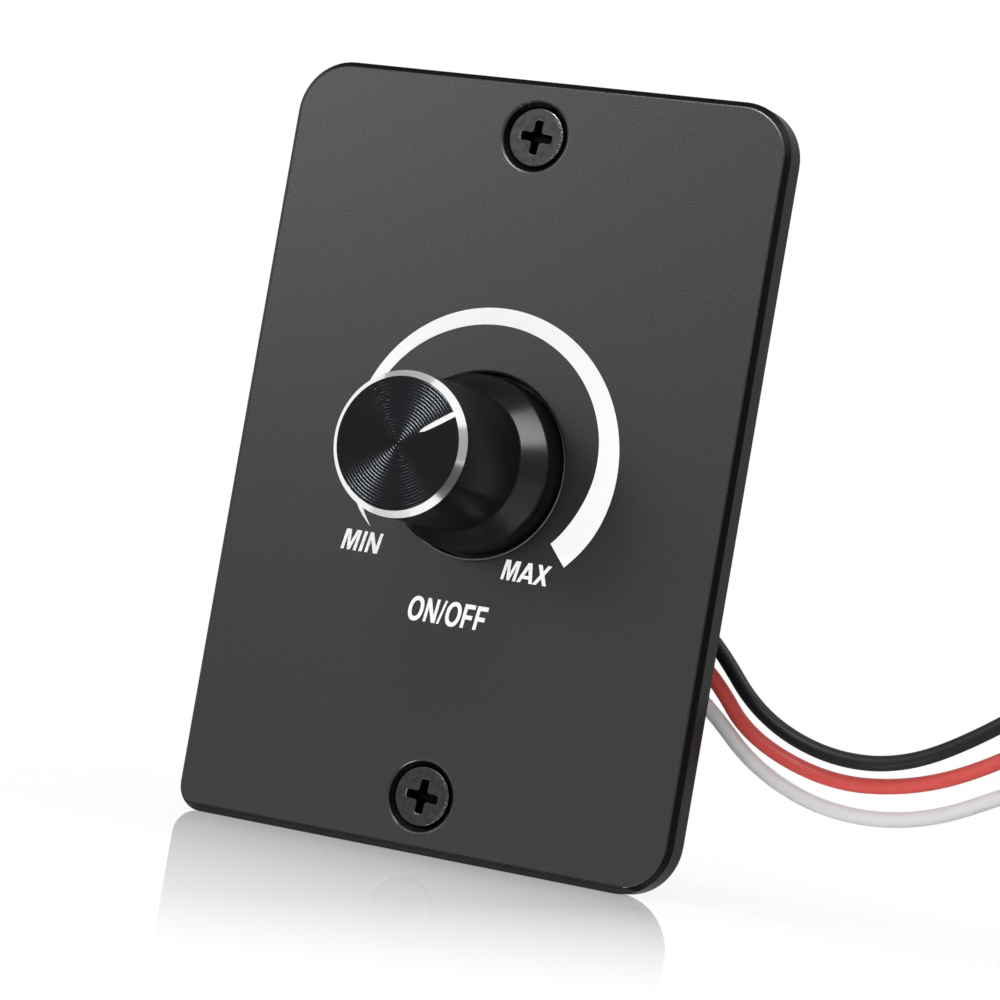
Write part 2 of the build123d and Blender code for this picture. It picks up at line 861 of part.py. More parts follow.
def corner_radii(route):
    """The radius of each bend of a lead: as large as its two runs allow."""
    points = [Vector(*p) for p in route]
    radii = []
    for before, here, after in zip(points, points[1:], points[2:]):
        turn = math.radians((here - before).get_angle(after - here))
        shorter = min((here - before).length, (after - here).length)
        radii.append(0.45 * shorter / math.tan(turn / 2))
    return radii


def make_lead(name):
    route = lead_routes[name]
    radii = corner_radii(route)
    path = FilletPolyline(*route, radius=radii)
    section = Plane(origin=path @ 0, z_dir=path % 0) * Circle(lead_diameter / 2)
    lead = sweep(section, path=path)
    ideal = path.length * math.pi * lead_diameter**2 / 4
    print(name, "length", round(path.length, 1), "volume ratio", round(lead.volume / ideal, 4))
    print(name, "radii", [round(r, 1) for r in radii])
    return lead


def make_lead_end(name):
    """The tinned strands at a lead's far end, in line with its last run."""
    last = Vector(*lead_routes[name][-1])
    along = last - Vector(*lead_routes[name][-2])
    return extrude(Plane(origin=last, z_dir=along) * Circle(lead_end_diameter / 2), amount=lead_end_length)


def make_lead_joints():
    """The tinned inner end of each lead in its mound of solder on the board."""
    joints = []
    for route in lead_routes.values():
        start = Vector(*route[0])
        along = Vector(*route[1]) - start
        strands = Plane(origin=start, z_dir=along) * Circle(lead_end_diameter / 2)
        wire = extrude(strands, amount=-joint_length)
        depth = board_front - start.Y
        foot = face_plane(board_front) * Pos(start.X - joint_length, start.Z) * Circle(mound_diameter / 2)
        mound = extrude(foot, amount=depth, taper=mound_taper)
        joints.append(wire + mound)
    return joints


nodes = {
    "faceplate": make_faceplate(),
    "dial_arc": make_dial_arc(),
    "mounting_screws": make_mounting_screws(),
    "knob": make_knob(),
    "knob_core": make_knob_core(),
    "pot_shaft": make_pot_shaft(),
    "pot_nut": make_pot_nut(),
    "pot_washer": make_pot_washer(),
    "pot_bushing": make_pot_bushing(),
    "pot_can": make_pot_can(),
    "pot_wafer": make_pot_wafer(),
    "pot_terminals": make_pot_terminals(),
    "wiper_rotor": make_wiper_rotor(),
    "wiper_contact": make_wiper_contact(),
    "switch_body": make_switch_body(),
    "switch_terminals": make_switch_terminals(),
    "switch_plunger": make_switch_plunger(),
    "contact_bridge": make_contact_bridge(),
    "return_spring": make_return_spring(),
    "circuit_board": make_circuit_board(),
    "filter_capacitor": make_filter_capacitor(),
    "power_transistor": make_power_transistor(),
    "flyback_diode": make_flyback_diode(),
    "control_chip": make_control_chip(),
    "chip_resistors": make_chip_resistors(),
    "housing": make_housing(),
    "rear_cover": make_rear_cover(),
    "wire_grommet": make_wire_grommet(),
    "housing_screws": make_housing_screws(),
    "board_screws": make_board_screws(),
    "cover_screws": make_cover_screws(),
    "lead_joints": make_lead_joints(),
}
for lead_name in lead_routes:
    nodes[lead_name] = make_lead(lead_name)
    nodes[lead_name + "_end"] = make_lead_end(lead_name)

os.makedirs("parts", exist_ok=True)
for node_name, shape in nodes.items():
    solid = Compound(children=shape) if isinstance(shape, list) else shape
    export_step(solid, f"parts/{node_name}.step")
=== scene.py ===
# Rotary dimmer on a black anodised wall plate: the finish of every piece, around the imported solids.
# Metres. +X is right and +Z is up as the plate hangs on the wall, and +Y goes into the wall.
import math

import bmesh
import bpy
from mathutils import Matrix, Quaternion, Vector


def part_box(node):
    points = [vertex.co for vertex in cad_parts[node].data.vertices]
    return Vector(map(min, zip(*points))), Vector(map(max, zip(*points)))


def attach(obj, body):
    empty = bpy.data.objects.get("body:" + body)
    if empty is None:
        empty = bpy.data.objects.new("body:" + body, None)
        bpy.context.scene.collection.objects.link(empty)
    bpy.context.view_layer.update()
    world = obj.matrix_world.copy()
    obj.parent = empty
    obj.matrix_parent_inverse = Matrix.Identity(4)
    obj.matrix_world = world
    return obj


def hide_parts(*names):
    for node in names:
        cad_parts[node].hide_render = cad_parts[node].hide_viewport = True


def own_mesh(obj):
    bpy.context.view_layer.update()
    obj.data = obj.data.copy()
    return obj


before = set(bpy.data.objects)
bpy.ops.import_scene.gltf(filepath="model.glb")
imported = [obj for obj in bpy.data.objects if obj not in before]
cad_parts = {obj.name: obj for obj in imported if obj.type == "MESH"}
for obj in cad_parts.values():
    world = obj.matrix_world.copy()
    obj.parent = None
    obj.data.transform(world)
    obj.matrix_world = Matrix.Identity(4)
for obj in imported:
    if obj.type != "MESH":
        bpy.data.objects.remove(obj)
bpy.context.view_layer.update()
MM = 0.001

# Camera
# A long lens stands to the right of the plate, a little below its middle.
# It is rolled, so that the plate leans to the right in the picture.
camera_place = Vector((193.3, -405.4, -21.3)) * MM
camera_yaw = math.radians(25.28)
camera_tilt = math.radians(2.29)
camera_roll = math.radians(9.83)
camera_data = bpy.data.cameras.new("camera")
camera_data.lens = 140.23
camera_data.sensor_width = 36.0
camera = bpy.data.objects.new("camera", camera_data)
bpy.context.scene.collection.objects.link(camera)
camera.matrix_world = (
    Matrix.Translation(camera_place)
    @ Matrix.Rotation(camera_yaw, 4, "Z")
    @ Matrix.Rotation(math.pi / 2 + camera_tilt, 4, "X")
    @ Matrix.Rotation(camera_roll, 4, "Z")
)
bpy.context.scene.camera = camera
bpy.context.scene.view_settings.view_transform = "Standard"

# Floor and white surroundings
# A sheet of white acrylic under the plate's lower edge, in a white room. It is lit from below as well,
# so it looks as white as the room. Its polish mirrors what stands on it, and fades away from the plate.
floor_size = 8.0
floor_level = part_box("faceplate")[0].z
floor_grey = "#9A9A9A"
floor_glow = 0.67
floor_haze = 0.02
floor_mirror = 0.57
# Where the polish ends and where it is whole: before the plate, behind it and beside it
polish_front = (-205 * MM, 0.0)
polish_back = (40 * MM, 5 * MM)
polish_sides = (90 * MM, 36 * MM)


def linear_colour(code):
    """An sRGB hex colour as the linear values that shaders take."""
    parts = [int(code[i : i + 2], 16) / 255 for i in (1, 3, 5)]
    return [p / 12.92 if p <= 0.04045 else ((p + 0.055) / 1.055) ** 2.4 for p in parts] + [1.0]


def add_node(tree, kind, inputs, **settings):
    """Adds a node: settings are its own fields, and each input is a value or another node's socket."""
    made = tree.nodes.new("ShaderNode" + kind)
    for field, value in settings.items():
        setattr(made, field, value)
    for key, value in inputs.items():
        if isinstance(value, bpy.types.NodeSocket):
            tree.links.new(value, made.inputs[key])
        else:
            made.inputs[key].default_value = value
    return made


def where(tree, *limits):
    """A mask that is 1 where every limit is met: each is a measure, where it starts and where it is full."""
    mask = 1.0
    for measure, start, full in limits:
        met = add_node(tree, "MapRange", {"Value": measure, "From Min": start, "From Max": full})
        mask = add_node(tree, "Math", {0: mask, 1: met.outputs[0]}, operation="MULTIPLY").outputs[0]
    return mask


def stage_sheet(name, width, height, turn, place, material):
    """A flat sheet of the set, which isn't part of the object."""
    shape = bmesh.new()
    bmesh.ops.create_grid(shape, x_segments=1, y_segments=1, size=0.5)
    bmesh.ops.scale(shape, verts=shape.verts, vec=(width, height, 1))
    bmesh.ops.rotate(shape, verts=shape.verts, cent=(0, 0, 0), matrix=turn.to_matrix())
    bmesh.ops.translate(shape, verts=shape.verts, vec=place)
    mesh = bpy.data.meshes.new(name)
    shape.to_mesh(mesh)
    shape.free()
    mesh.materials.append(material)
    flat = bpy.data.objects.new(name, mesh)
    bpy.context.scene.collection.objects.link(flat)
    return flat


world = bpy.data.worlds.new("white_room")
world.use_nodes = True
world.node_tree.nodes["Background"].inputs["Color"].default_value = linear_colour("#FFFFFF")
bpy.context.scene.world = world

acrylic = bpy.data.materials.new("white_acrylic")
acrylic.use_nodes = True
sheet = acrylic.node_tree
matt = add_node(sheet, "BsdfDiffuse", {"Color": linear_colour(floor_grey)})
rays = add_node(sheet, "LightPath", {})
glow_share = add_node(
    sheet, "MapRange", {"Value": rays.outputs["Is Diffuse Ray"], "To Min": floor_glow, "To Max": 0.0}
)
glow = add_node(sheet, "Emission", {"Strength": glow_share.outputs[0]})
white = add_node(sheet, "AddShader", {0: matt.outputs[0], 1: glow.outputs[0]})
polish = add_node(sheet, "BsdfGlossy", {"Color": linear_colour("#FFFFFF"), "Roughness": floor_haze})
floor_place = add_node(sheet, "TexCoord", {})
floor_axes = add_node(sheet, "SeparateXYZ", {0: floor_place.outputs["Object"]})
aside = add_node(sheet, "Math", {0: floor_axes.outputs["X"]}, operation="ABSOLUTE")
polished = where(
    sheet,
    (floor_axes.outputs["Y"], *polish_front),
    (floor_axes.outputs["Y"], *polish_back),
    (aside.outputs[0], *polish_sides),
)
mirror = add_node(sheet, "Math", {0: polished, 1: floor_mirror}, operation="MULTIPLY")
top_coat = add_node(sheet, "MixShader", {0: mirror.outputs[0], 1: white.outputs[0], 2: polish.outputs[0]})
sheet.links.new(top_coat.outputs[0], sheet.nodes["Material Output"].inputs["Surface"])
stage_sheet("floor", floor_size, floor_size, Quaternion(), (0, 0, floor_level), acrylic)


# Lamps, cards and flags
# Four soft boxes that either show as gloss or light dull pieces, with a brightness where 1 is the white of
# the room. Two grey cards in the air and two black flags on the floor are there for gloss to mirror.
flag_black = "#141414"
flag_lift = 0.5 * MM
# The plate's foot lies closer to a flag than this, and doesn't mirror it
flag_reach = 33 * MM


def soft_box(name, place_mm, width_mm, height_mm, brightness, turn=0.0, gloss=True):
    """A lamp that faces the knob's foot, and either shows as gloss or lights dull surfaces."""
    panel = bpy.data.lights.new(name, "AREA")
    panel.shape = "RECTANGLE"
    panel.size = width_mm * MM
    panel.size_y = height_mm * MM
    panel.energy = brightness * math.pi * panel.size * panel.size_y
    lamp = bpy.data.objects.new(name, panel)
    bpy.context.scene.collection.objects.link(lamp)
    place = Vector(place_mm) * MM
    lamp.location = place
    lamp.rotation_mode = "QUATERNION"
    lamp.rotation_quaternion = place.to_track_quat("Z", "Y") @ Quaternion((0, 0, 1), math.radians(turn))
    lamp.visible_camera = False
    lamp.visible_diffuse = not gloss
    lamp.visible_glossy = gloss


def begin_felt(name, code):
    """Matt felt for a card or flag of the set."""
    felt = bpy.data.materials.new(name + "_felt")
    felt.use_nodes = True
    shader = felt.node_tree.nodes["Principled BSDF"]
    shader.inputs["Base Color"].default_value = linear_colour(code)
    return felt


def show_to_gloss(card):
    """Lets only the gloss of the object see a card."""
    card.visible_camera = False
    card.visible_diffuse = False
    card.visible_shadow = False


def grey_card(name, place_mm, width_mm, height_mm, code):
    # Grey felt on a board, which faces the knob's foot
    felt = begin_felt(name, code)
    place = Vector(place_mm) * MM
    turn = place.to_track_quat("Z", "Y")
    show_to_gloss(stage_sheet(name, width_mm * MM, height_mm * MM, turn, place, felt))


def floor_flag(name, left_mm, right_mm, near_mm, far_mm):
    # Black felt just above the floor, for gloss that looks down on it from afar, and clear from below
    felt = begin_felt(name, flag_black)
    tree = felt.node_tree
    shader = tree.nodes["Principled BSDF"]
    side = add_node(tree, "NewGeometry", {})
    rays = add_node(tree, "LightPath", {})
    close = add_node(tree, "Math", {0: rays.outputs["Ray Length"], 1: flag_reach}, operation="LESS_THAN")
    hidden = add_node(tree, "Math", {0: side.outputs["Backfacing"], 1: close.outputs[0]}, operation="MAXIMUM")
    clear = add_node(tree, "BsdfTransparent", {})
    seen = add_node(tree, "MixShader", {0: hidden.outputs[0], 1: shader.outputs[0], 2: clear.outputs[0]})
    tree.links.new(seen.outputs[0], tree.nodes["Material Output"].inputs["Surface"])
    width, depth = (right_mm - left_mm) * MM, (far_mm - near_mm) * MM
    middle = ((left_mm + right_mm) / 2 * MM, (near_mm + far_mm) / 2 * MM, floor_level + flag_lift)
    show_to_gloss(stage_sheet(name, width, depth, Quaternion(), middle, felt))


soft_box("key_strip", (-4, -349, 359), width_mm=185, height_mm=30, brightness=218.0, turn=-37)
soft_box("left_box", (-305, -322, 150), width_mm=280, height_mm=160, brightness=5.3)
soft_box("side_box", (321, 14, 315), width_mm=150, height_mm=330, brightness=12.0)
soft_box("fill_box", (150, -400, 120), width_mm=320, height_mm=320, brightness=1.9, gloss=False)
floor_flag("near_flag", left_mm=10, right_mm=60, near_mm=-14, far_mm=-4.2)
floor_flag("far_flag", left_mm=31, right_mm=240, near_mm=-150, far_mm=-36)
grey_card("side_card", (282, -103, 60), width_mm=240, height_mm=210, code="#C0C0C0")
grey_card("top_card", (-180, 17, 378), width_mm=340, height_mm=340, code="#EAEAEA")


# Leads
# Three stranded hook-up wires in soft PVC, drawn through the rubber grommet and soldered to the board.
# The sleeve is extruded round the strands, so it is smooth, and it holds the bends it was given.
lead_diameter = 1.8 * MM
strand_diameter = 0.36 * MM
strand_count = 6
strand_lay = 8.0 * MM
strand_inside = 1.0 * MM
strand_length = 6.0 * MM
strand_steps = 14
strand_roundness = 2
sleeve_roundness = 6
spline_steps = 12
lead_routes = {
    "black_lead": [
        (9.0, 17.0, -11.5),
        (13.0, 17.0, -11.4),
        (19.4, 17.0, -11.5),
        (25.0, 16.7, -15.6),
        (31.5, 16.0, -22.7),
        (40.7, 15.2, -26.2),
        (50.1, 14.7, -25.7),
        (59.2, 14.6, -20.6),
        (69.8, 14.9, -11.9),
        (79.2, 15.8, -3.1),
        (88.0, 17.0, 6.2),
    ],
    "red_lead": [
        (9.0, 17.0, -15.3),
        (13.0, 17.0, -15.2),
        (19.4, 17.0, -15.3),
        (25.2, 17.0, -19.4),
        (30.4, 17.1, -25.5),
        (40.8, 17.2, -29.0),
        (50.6, 17.0, -28.0),
        (59.4, 16.7, -24.3),
        (70.6, 16.7, -16.4),
        (80.6, 17.0, -8.4),
        (89.9, 17.5, 0.3),
    ],
    "white_lead": [
        (9.0, 17.0, -19.1),
        (13.0, 17.0, -19.0),
        (19.4, 17.0, -19.1),
        (24.9, 17.2, -22.8),
        (31.7, 17.8, -29.1),
        (41.2, 18.4, -32.5),
        (51.9, 18.7, -31.7),
        (61.9, 19.0, -26.7),
        (71.4, 19.5, -20.9),
        (81.6, 20.3, -14.1),
        (91.2, 21.4, -6.7),
    ],
}


def begin_material(name, roughness, metallic=0.0):
    """A new material, its nodes and its shader."""
    material = bpy.data.materials.new(name)
    material.use_nodes = True
    shader = material.node_tree.nodes["Principled BSDF"]
    shader.inputs["Roughness"].default_value = roughness
    shader.inputs["Metallic"].default_value = metallic
    return material, material.node_tree, shader


def mottle(tree, shader, dark, light, grain_mm, relief_mm):
    """A fine uneven surface: its colour and its relief follow one noise of the given grain."""
    place = add_node(tree, "TexCoord", {})
    noise = add_node(
        tree,
        "TexNoise",
        {"Vector": place.outputs["Object"], "Scale": 1 / (grain_mm * MM), "Detail": 2.0},
    )
    tint = add_node(
        tree,
        "Mix",
        {0: noise.outputs["Fac"], 6: linear_colour(dark), 7: linear_colour(light)},
        data_type="RGBA",
    )
    relief = add_node(tree, "Bump", {"Distance": relief_mm * MM, "Height": noise.outputs["Fac"]})
    tree.links.new(tint.outputs[2], shader.inputs["Base Color"])
    tree.links.new(relief.outputs[0], shader.inputs["Normal"])
    return tint.outputs[2]


def soft_pvc(name, dark, light):
    # Extruded soft PVC: evenly dyed, with a dull sheen and long shallow waves from the die
    material, tree, shader = begin_material(name, 0.5)
    mottle(tree, shader, dark, light, grain_mm=1.5, relief_mm=0.02)
    shader.inputs["Specular IOR Level"].default_value = 0.18
    return material


def tinned_copper():
    # Copper strands dipped in solder: bright, a little rough where the solder ran
    material, tree, shader = begin_material("tinned_copper", 0.28, metallic=1.0)
    mottle(tree, shader, "#B9BAB8", "#D8D9D6", grain_mm=0.4, relief_mm=0.01)
    return material


def dress(material, *node_names):
    """Gives solids that keep their own shape their finish."""
    for node_name in node_names:
        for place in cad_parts[node_name].material_slots:
            place.material = material


def link_piece(name, data, body, slot_name, *node_names):
    """Adds a finished piece that rides on a body and stands for its solids."""
    piece = bpy.data.objects.new(name, data)
    bpy.context.scene.collection.objects.link(piece)
    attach(piece, body)
    if node_names:
        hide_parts(*node_names)
    return piece


def start_curve(name, diameter, roundness):
    """A round line of the given thickness, with closed ends."""
    line = bpy.data.curves.new(name, "CURVE")
    line.dimensions = "3D"
    line.bevel_depth = diameter / 2
    line.bevel_resolution = roundness
    line.use_fill_caps = True
    return line


def add_spline(line, places):
    """Adds a smooth run along the places to a line."""
    spline = line.splines.new("NURBS")
    spline.points.add(len(places) - 1)
    for point, place in zip(spline.points, places):
        point.co = (*place, 1.0)
    spline.order_u = 3
    spline.use_endpoint_u = True
    spline.resolution_u = spline_steps


def twist_strands(line, end, along):
    """Strands laid round a middle one, from just inside the sleeve to the lead's far end."""
    across = along.orthogonal().normalized()
    over = along.cross(across)
    for k in range(strand_count + 1):
        off_centre = 0.0 if k == strand_count else strand_diameter
        places = []
        for i in range(strand_steps + 1):
            reach = -strand_inside + (strand_length + strand_inside) * i / strand_steps
            turn = 2 * math.pi * (k / strand_count + reach / strand_lay)
            aside = across * math.cos(turn) + over * math.sin(turn)
            places.append(end + along * reach + aside * off_centre)
        add_spline(line, places)


solder = tinned_copper()
sleeves = {
    "black_lead": soft_pvc("black_pvc", "#0F1011", "#151617"),
    "red_lead": soft_pvc("red_pvc", "#CA4A46", "#D4554F"),
    "white_lead": soft_pvc("white_pvc", "#CECECE", "#D6D6D6"),
}
for lead_name, route in lead_routes.items():
    places = [Vector(place) * MM for place in route]
    strands_line = start_curve(lead_name + "_strands", strand_diameter, strand_roundness)
    twist_strands(strands_line, places[-1], (places[-1] - places[-2]).normalized())
    strands_line.materials.append(solder)
    strands = link_piece(
        lead_name + "_strands", strands_line, "base", "tinned_copper", lead_name + "_end"
    )
    sleeve_line = start_curve(lead_name + "_sleeve", lead_diameter, sleeve_roundness)
    add_spline(sleeve_line, places)
    sleeve_line.materials.append(sleeves[lead_name])
    sleeve = link_piece(
        lead_name + "_sleeve", sleeve_line, "base", lead_name.replace("_lead", "_pvc"), lead_name
    )
dress(solder, "lead_joints")


# Faceplate
# One aluminium plate, milled along its edges and holes, bead-blasted and anodised black.
# It hangs on two screws through its countersunk holes, and the housing is screwed to its back.
plate_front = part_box("faceplate")[0].y
plate_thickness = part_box("faceplate")[1].y - plate_front
plate_chamfer = 0.7 * MM
edge_break = 0.07 * MM
lip_round = 0.2 * MM
lip_steps = 4
# Every hole lies nearer the middle than this, and every outer edge further away
holes_x = 25 * MM
holes_z = 42 * MM
# Below these heights the lower chamfer is painted lighter (painted reflection) and the front is painted
# darker (painted shade)
chamfer_foot = -44.2 * MM
front_foot = -44.03 * MM
# How far below the front the edge painted darker (painted shade), the lip painted pale (painted highlight)
# and the wall of a hole painted near black (painted shade) begin
edge_depth = 0.1 * MM
lip_depth = 0.02 * MM
wall_depth = 0.14 * MM
# The painted highlight on the lower lip of the knob's hole: the heights where it sets in and is full, and how
# far down it reaches
lip_highlight_span = (9 * MM, -2 * MM)
lip_reach = 12 * MM
depth_blur = 0.03 * MM
place_blur = 0.01 * MM
merge_gap = 0.001 * MM
flat_angle = math.radians(0.5)
wide_face = 20 * MM**2
crease_angle = math.radians(15)


def finish_mesh(name, shape, crease, *materials):
    """Turns a worked shape into a mesh, smooth up to the crease angle, but not round a wide flat face."""
    for face in shape.faces:
        face.smooth = True
    for edge in shape.edges:
        wide = any(face.calc_area() > wide_face for face in edge.link_faces)
        edge.smooth = not wide and edge.calc_face_angle(0) < crease
    mesh = bpy.data.meshes.new(name)
    shape.to_mesh(mesh)
    shape.free()
    for material in materials:
        mesh.materials.append(material)
    return mesh


def break_edges(node_name, width, lips=lambda edge: False):
    """A copy of a solid with its sharp edges broken, as deburring leaves them, and its lips rounded."""
    shape = bmesh.new()
    shape.from_mesh(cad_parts[node_name].data)
    bmesh.ops.remove_doubles(shape, verts=shape.verts, dist=merge_gap)
    bmesh.ops.dissolve_limit(
        shape, angle_limit=flat_angle, verts=shape.verts, edges=shape.edges, delimit=set()
    )
    for is_lip, offset, segments in ((False, width, 1), (True, lip_round, lip_steps)):
        sharp = [edge for edge in shape.edges if edge.calc_face_angle(0) > crease_angle]
        bmesh.ops.bevel(
            shape,
            geom=[edge for edge in sharp if lips(edge) == is_lip],
            offset=offset,
            segments=segments,
            profile=0.5,
            affect="EDGES",
            material=-1,
        )
    return shape


def at_hole(edge):
    """Whether an edge is the front lip of the knob's hole or of a countersink."""
    ends = [vert.co for vert in edge.verts]
    inside = all(abs(end.x) < holes_x and abs(end.z) < holes_z for end in ends)
    return inside and all(abs(end.y - plate_front) < edge_break / 2 for end in ends)


def anodised_plate():
    # Bead-blasted aluminium, anodised black: a dull dark grey with a fine sparkle of grains.
    # The chamfers, the sides and a strip of the front above the foot are painted darker (painted shade), but
    # the lower chamfer is painted lighter (painted reflection). The walls of the holes are painted near black
    # (painted shade), and the lower lip of the knob's hole is painted pale and dull as a thin light line
    # (painted highlight). The back is blasted like the front.
    material, tree, shader = begin_material("black_anodised_aluminium", 0.38, metallic=1.0)
    tint = mottle(tree, shader, "#272727", "#414141", grain_mm=0.2, relief_mm=0.01)
    place = add_node(tree, "TexCoord", {})
    axes = add_node(tree, "SeparateXYZ", {0: place.outputs["Object"]})
    spread = add_node(tree, "VectorMath", {0: place.outputs["Object"]}, operation="ABSOLUTE")
    away = add_node(tree, "SeparateXYZ", {0: spread.outputs[0]})
    y, z = axes.outputs["Y"], axes.outputs["Z"]
    edge, lip_start, wall, side, back = (
        (y, plate_front + depth, plate_front + depth + depth_blur)
        for depth in (edge_depth, lip_depth, wall_depth, plate_chamfer, plate_thickness - edge_depth)
    )
    inside = (
        (away.outputs["X"], holes_x, holes_x - place_blur),
        (away.outputs["Z"], holes_z, holes_z - place_blur),
    )
    before_wall = (y, wall[2], wall[1])
    round_knob = (away.outputs["Z"], lip_reach, lip_reach - place_blur)
    # A pale band painted on the lower lip of the knob's hole, as a thin light line: painted highlight
    lip = where(tree, lip_start, before_wall, round_knob, (z, *lip_highlight_span), *inside)
    colour = tint
    for mask, paint in (
        # The strip of the front above the foot, the chamfers and the sides are painted darker: painted shade
        (where(tree, (z, front_foot, front_foot - place_blur)), linear_colour("#232323")),
        (where(tree, edge), linear_colour("#181818")),
        # The lower chamfer is painted lighter: painted reflection
        (where(tree, edge, (z, chamfer_foot, chamfer_foot - place_blur)), linear_colour("#393939")),
        (where(tree, side), linear_colour("#252525")),
        (where(tree, *inside), tint),
        # The walls of the holes, countersinks too, are painted near black: painted shade
        (where(tree, wall, *inside), linear_colour("#0D0D0D")),
        # The lower lip of the knob's hole is painted pale: painted highlight
        (lip, linear_colour("#868686")),
        (where(tree, back), tint),
    ):
        colour = add_node(tree, "Mix", {0: mask, 6: colour, 7: paint}, data_type="RGBA").outputs[2]
    # The painted highlight on the lip is dull, not metallic
    sheen = add_node(tree, "Math", {0: 1.0, 1: lip}, operation="SUBTRACT")
    tree.links.new(colour, shader.inputs["Base Color"])
    tree.links.new(sheen.outputs[0], shader.inputs["Metallic"])
    shader.inputs["Specular Tint"].default_value = linear_colour("#D1D1D1")
    return material


plate_shape = break_edges("faceplate", edge_break, at_hole)
plate_mesh = finish_mesh("plate", plate_shape, crease_angle, anodised_plate())
link_piece("plate", plate_mesh, "base", "anodised_plate", "faceplate")


# Printed dial
# A swoosh that widens from MIN to MAX, and three words, screen-printed in white ink and baked.
# The words are a bold slanted face, each letter drawn as its outline on a grid one capital high.
print_height = 0.05 * MM
round_steps = 40
swoosh_steps = 120
oval_power = 0.93
dial_centre_z = 0.9
swoosh_outer = [
    (-40.3, 16.85),
    (-20.0, 17.32),
    (30.0, 17.46),
    (90.0, 17.38),
    (145.0, 17.15),
    (185.0, 16.65),
    (208.0, 16.18),
    (218.3, 15.65),
]
swoosh_inner = [
    (-38.3, 13.68),
    (-20.0, 14.08),
    (0.0, 14.68),
    (20.0, 15.08),
    (60.0, 15.36),
    (110.0, 15.47),
    (140.0, 15.68),
    (185.0, 15.72),
    (218.3, 15.62),
]
# Each word: its left end, its baseline, the width and height of a grid square and the lean of its stems
words = [
    ("MIN", -15.6, -11.87, 2.38, 2.4, 10.8),
    ("MAX", 5.25, -12.44, 2.24, 2.34, 10.3),
    ("ON/OFF", -5.71, -18.65, 2.2, 2.78, 6.9),
]


def oval(width, low, high, wall, cap):
    """A round outline as of an O, inset by wall at its sides and by cap at its ends."""
    points = []
    for i in range(round_steps):
        turn = 2 * math.pi * i / round_steps
        c, s = math.cos(turn), math.sin(turn)
        x = math.copysign(abs(c) ** oval_power, c) * (width / 2 - wall)
        z = math.copysign(abs(s) ** oval_power, s) * ((high - low) / 2 - cap)
        points.append((width / 2 + x, (low + high) / 2 + z))
    return points


# Each letter: the room at its sides, its width and its outlines
glyphs = {
    "I": (0.075, 0.176, [[(0, 0), (0.176, 0), (0.176, 1), (0, 1)]]),
    "M": (
        0.075,
        0.84,
        [
            [
                (0, 0),
                (0.164, 0),
                (0.164, 0.79),
                (0.346, 0),
                (0.494, 0),
                (0.676, 0.79),
                (0.676, 0),
                (0.84, 0),
                (0.84, 1),
                (0.563, 1),
                (0.42, 0.35),
                (0.277, 1),
                (0, 1),
            ]
        ],
    ),
    "N": (
        0.075,
        0.7,
        [
            [
                (0, 0),
                (0.16, 0),
                (0.16, 0.63),
                (0.49, 0),
                (0.7, 0),
                (0.7, 1),
                (0.535, 1),
                (0.535, 0.315),
                (0.175, 1),
                (0, 1),
            ]
        ],
    ),
    "A": (
        0.0,
        0.884,
        [
            [(0, 0), (0.2, 0), (0.262, 0.19), (0.622, 0.19), (0.684, 0), (0.884, 0), (0.55, 1), (0.334, 1)],
            [(0.318, 0.36), (0.566, 0.36), (0.442, 0.7)],
        ],
    ),
    "X": (
        0.0,
        0.795,
        [
            [
                (0, 0),
                (0.214, 0),
                (0.398, 0.325),
                (0.581, 0),
                (0.795, 0),
                (0.518, 0.5),
                (0.78, 1),
                (0.565, 1),
                (0.398, 0.697),
                (0.23, 1),
                (0.015, 1),
                (0.277, 0.5),
            ]
        ],
    ),
    "O": (0.05, 0.865, [oval(0.865, -0.035, 1.015, 0.0, 0.0), oval(0.865, -0.035, 1.015, 0.195, 0.185)]),
    "F": (
        0.06,
        0.614,
        [
            [
                (0, 0),
                (0.182, 0),
                (0.182, 0.37),
                (0.555, 0.37),
                (0.555, 0.55),
                (0.182, 0.55),
                (0.182, 0.817),
                (0.614, 0.817),
                (0.614, 1),
                (0, 1),
            ]
        ],
    ),
    "/": (0.02, 0.33, [[(0, 0), (0.127, 0), (0.33, 1), (0.203, 1)]]),
}


def white_ink():
    # Baked screen ink: flat white, with the mesh of the screen faintly in its surface
    material, tree, shader = begin_material("white_screen_ink", 0.5)
    mottle(tree, shader, "#EFEFEE", "#F5F5F4", grain_mm=0.12, relief_mm=0.004)
    return material


def smooth_radius(knots, share):
    """A place on a smooth line through (degrees, radius) knots, as x and z from the dial's centre."""
    degrees = knots[0][0] + (knots[-1][0] - knots[0][0]) * share
    k = max(i for i in range(len(knots) - 1) if i == 0 or knots[i][0] <= degrees)
    (a, low), (b, high) = knots[k], knots[k + 1]
    before, after = knots[max(k - 1, 0)], knots[min(k + 2, len(knots) - 1)]
    rise_in = (high - before[1]) / (b - before[0]) * (b - a)
    rise_out = (after[1] - low) / (after[0] - a) * (b - a)
    t = (degrees - a) / (b - a)
    radius = low * (1 + 2 * t) * (1 - t) ** 2 + high * t**2 * (3 - 2 * t)
    radius += rise_in * t * (1 - t) ** 2 - rise_out * t**2 * (1 - t)
    turn = math.radians(degrees)
    return radius * math.cos(turn), dial_centre_z + radius * math.sin(turn)


def lay_ink(shape, outlines):
    """Fills outlines in mm on the plate's front and raises them by the ink's thickness."""
    rim = []
    for outline in outlines:
        corners = [shape.verts.new((x * MM, plate_front, z * MM)) for x, z in outline]
        rim += [shape.edges.new(pair) for pair in zip(corners, corners[1:] + corners[:1])]
    filled = bmesh.ops.triangle_fill(shape, edges=rim, use_beauty=True)
    faces = [part for part in filled["geom"] if isinstance(part, bmesh.types.BMFace)]
    raised = bmesh.ops.extrude_face_region(shape, geom=faces, use_keep_orig=True)
    tops = [part for part in raised["geom"] if isinstance(part, bmesh.types.BMVert)]
    bmesh.ops.translate(shape, verts=tops, vec=(0, -print_height, 0))


